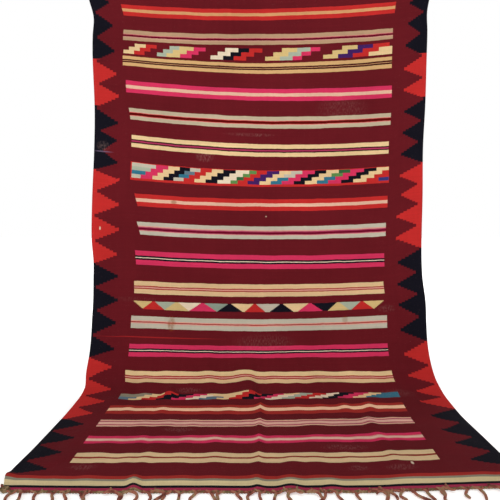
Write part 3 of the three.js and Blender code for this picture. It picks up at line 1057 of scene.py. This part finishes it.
def yarnPath(across):
    # out of the cord, down to the floor and away in a loose curve
    root = cordMiddle(across)
    length = random.uniform(yarn["shortest"], yarn["longest"])
    lying = random.random() < yarn["lyingShare"]
    side = random.choice((-1, 1))
    lean = side * random.uniform(*yarn["lyingLean"]) if lying else random.gauss(0, yarn["lean"])
    swingBy = random.uniform(*yarn["swing"]) * random.choice((-1, 1))
    turns = random.uniform(*yarn["turns"])
    start = random.uniform(0, math.pi)
    rise = yarn["lyingRise"] if lying else random.choice(yarn["rises"])
    step = yarn["step"]
    points = []
    spot = Vector((root.x, root.y + yarn["rootIn"], 0))
    for k in range(int(length / step)):
        part = k * step / length
        turned = lean * (1 - smoothStep((part - yarn["turnFrom"]) / yarn["turnOver"])) if lying else lean
        way = turned + swingBy * math.sin(start + 2 * math.pi * turns * part) * smoothStep(part * 3)
        drop = smoothStep(part * length / yarn["dropOver"])
        rest = yarn["ply"] * yarnSwell(part) + yarn["plyOff"] + yarn["clear"]
        height = max(between(root.z, rest, drop), rest) + rise * math.sin(math.pi * min(part * 2, 1))
        points.append(Vector((spot.x, spot.y, height)))
        spot += Vector((math.sin(way), -math.cos(way), 0)) * step
    return points


def layFringe(curve):
    half = rug["width"] / 2 - yarn["edgeSpare"]
    step = yarn["pitch"] / yarn["stepsPerTurn"]
    for index in range(yarn["count"]):
        stray = random.uniform(-yarn["stray"], yarn["stray"])
        line = resample(yarnPath(between(-half, half, (index + 0.5 + stray) / yarn["count"])), step)
        turnAt = random.uniform(0, math.pi)
        spread = yarn["rootSpread"] * random.uniform(*yarn["spreadRange"])
        for ply in range(yarn["plies"]):
            side = ply - (yarn["plies"] - 1) / 2
            plySpline(curve, line,
                      lambda k: side * spread * (1 - smoothStep(k * step / yarn["gather"])),
                      yarn["plyOff"], yarn["stepsPerTurn"], turnAt + 2 * math.pi * ply / yarn["plies"],
                      yarnSwell)


yarnCurve = newCurve("fringeYarns", yarn["ply"], 0)
layFringe(yarnCurve)
yarnMaterial = makeYarnMaterial("warpEnds", "yarnDark", "yarnLight", 40.0)
fringeYarns = curvePiece("fringeYarns", yarnCurve, yarnMaterial)
print("fringe laid,", sum(len(p.vertices) - 2 for p in fringeYarns.data.polygons), "triangles")

for piece, node in ((cloth, "cloth"), (endCord, "fringe"), (fringeYarns, "fringe")):
    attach(piece, "root")
    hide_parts(node)


# Studio: pale floor with a painted glow that is weaker near the rug, leaving a painted shadow round it,
# white surround, soft lights
studio = {
    "floor": {"Base Color": (0.93, 0.93, 0.92, 1), "Roughness": 0.8, "Emission Strength": 1.0},
    "floorSize": 20,
    "floorUnder": 0.0005,       # just below the rug's underside
    # the floor's painted light: a glow that is dimmest near the rug, for a painted shadow there, and full
    # white far off
    "paintedGlowNear": 0.42,
    "paintedGlowFar": 1.0,
    "paintedGlowReach": (0.9, 3.2),    # metres from the rug's middle
    "ambient": 0.43,
    "lights": chart("name at aim size power spread", [
        ("keyLight", (-2.6, -5.0, 2.4), (0, 0.3, 0.5), 2.4, 12.5, 60),
        ("fillLight", (3.6, -4.4, 2.0), (0, 0.3, 0.5), 3.0, 6, 60),
        ("topLight", (0.0, -1.6, 4.6), (0, -0.5, 0.0), 2.0, 7, 60),
        ("backLight", (0.6, 5.0, 3.2), (0, 0.6, 1.0), 3.0, 110, 180),
    ]),
}


def makeWorld():
    world = bpy.data.worlds.new("surround")
    world.use_nodes = True
    tree = world.node_tree
    ambient = tree.nodes["Background"]
    ambient.inputs["Color"].default_value = (1, 1, 1, 1)
    ambient.inputs["Strength"].default_value = studio["ambient"]
    white = addNode(tree, "Background", {"Color": (1, 1, 1, 1), "Strength": 1.0})
    seen = addNode(tree, "LightPath").outputs["Is Camera Ray"]
    mixed = addNode(tree, "MixShader", {0: seen, 1: ambient.outputs[0], 2: white.outputs[0]})
    tree.links.new(mixed.outputs[0], tree.nodes["World Output"].inputs["Surface"])
    bpy.context.scene.world = world


def makeFloor():
    material, tree, shader = newMaterial("paleFloor", studio["floor"])
    place = addNode(tree, "TexCoord").outputs["Object"]
    # painted light: the floor glows, less near the rug so a painted shadow stays round it, white further
    # out
    away = addNode(tree, "VectorMath", {0: place}, operation="LENGTH").outputs["Value"]
    near, far = studio["paintedGlowReach"]
    paintedFloorGlow = addNode(tree, "MapRange", {"Value": away, "From Min": near, "From Max": far,
                                      "To Min": studio["paintedGlowNear"], "To Max": studio["paintedGlowFar"]},
                   interpolation_type="SMOOTHSTEP").outputs["Result"]
    shade = addNode(tree, "CombineColor", {0: paintedFloorGlow, 1: paintedFloorGlow, 2: paintedFloorGlow})
    tree.links.new(shade.outputs[0], shader.inputs["Emission Color"])
    bm = bmesh.new()
    bmesh.ops.create_grid(bm, x_segments=1, y_segments=1, size=studio["floorSize"])
    floor = finishPiece("studioFloor", bm, material, (0, 0, -studio["floorUnder"]))


def makeLights():
    for light in studio["lights"]:
        data = bpy.data.lights.new(light["name"], "AREA")
        data.shape = "SQUARE"
        data.size = light["size"]
        data.energy = light["power"]
        data.spread = math.radians(light["spread"])
        lamp = bpy.data.objects.new(light["name"], data)
        bpy.context.scene.collection.objects.link(lamp)
        lamp.location = light["at"]
        aim = Vector(light["aim"]) - Vector(light["at"])
        lamp.rotation_euler = aim.to_track_quat("-Z", "Y").to_euler()


# Camera: where the photograph's perspective puts it
view = {
    "lens": 39.86,
    "sensor": 36.0,
    "height": 0.7964,
    "distance": 2.7137,     # in front of the hanging cloth's face
    "across": 0.0078,       # from the cloth's middle line
    "pitchDown": 3.303,
    "yawLeft": 0.89,
}


def makeCamera():
    data = bpy.data.cameras.new("camera")
    data.lens = view["lens"]
    data.sensor_width = view["sensor"]
    camera = bpy.data.objects.new("camera", data)
    bpy.context.scene.collection.objects.link(camera)
    hungFace = clothHigh.y - rug["thick"]
    camera.location = (shift.x + view["across"], hungFace - view["distance"], view["height"])
    camera.rotation_euler = Euler(
        (math.radians(90 - view["pitchDown"]), 0, math.radians(view["yawLeft"])))
    bpy.context.scene.camera = camera


makeWorld()
makeFloor()
makeLights()
makeCamera()
bpy.context.scene.view_settings.view_transform = "Standard"
print("studio set")
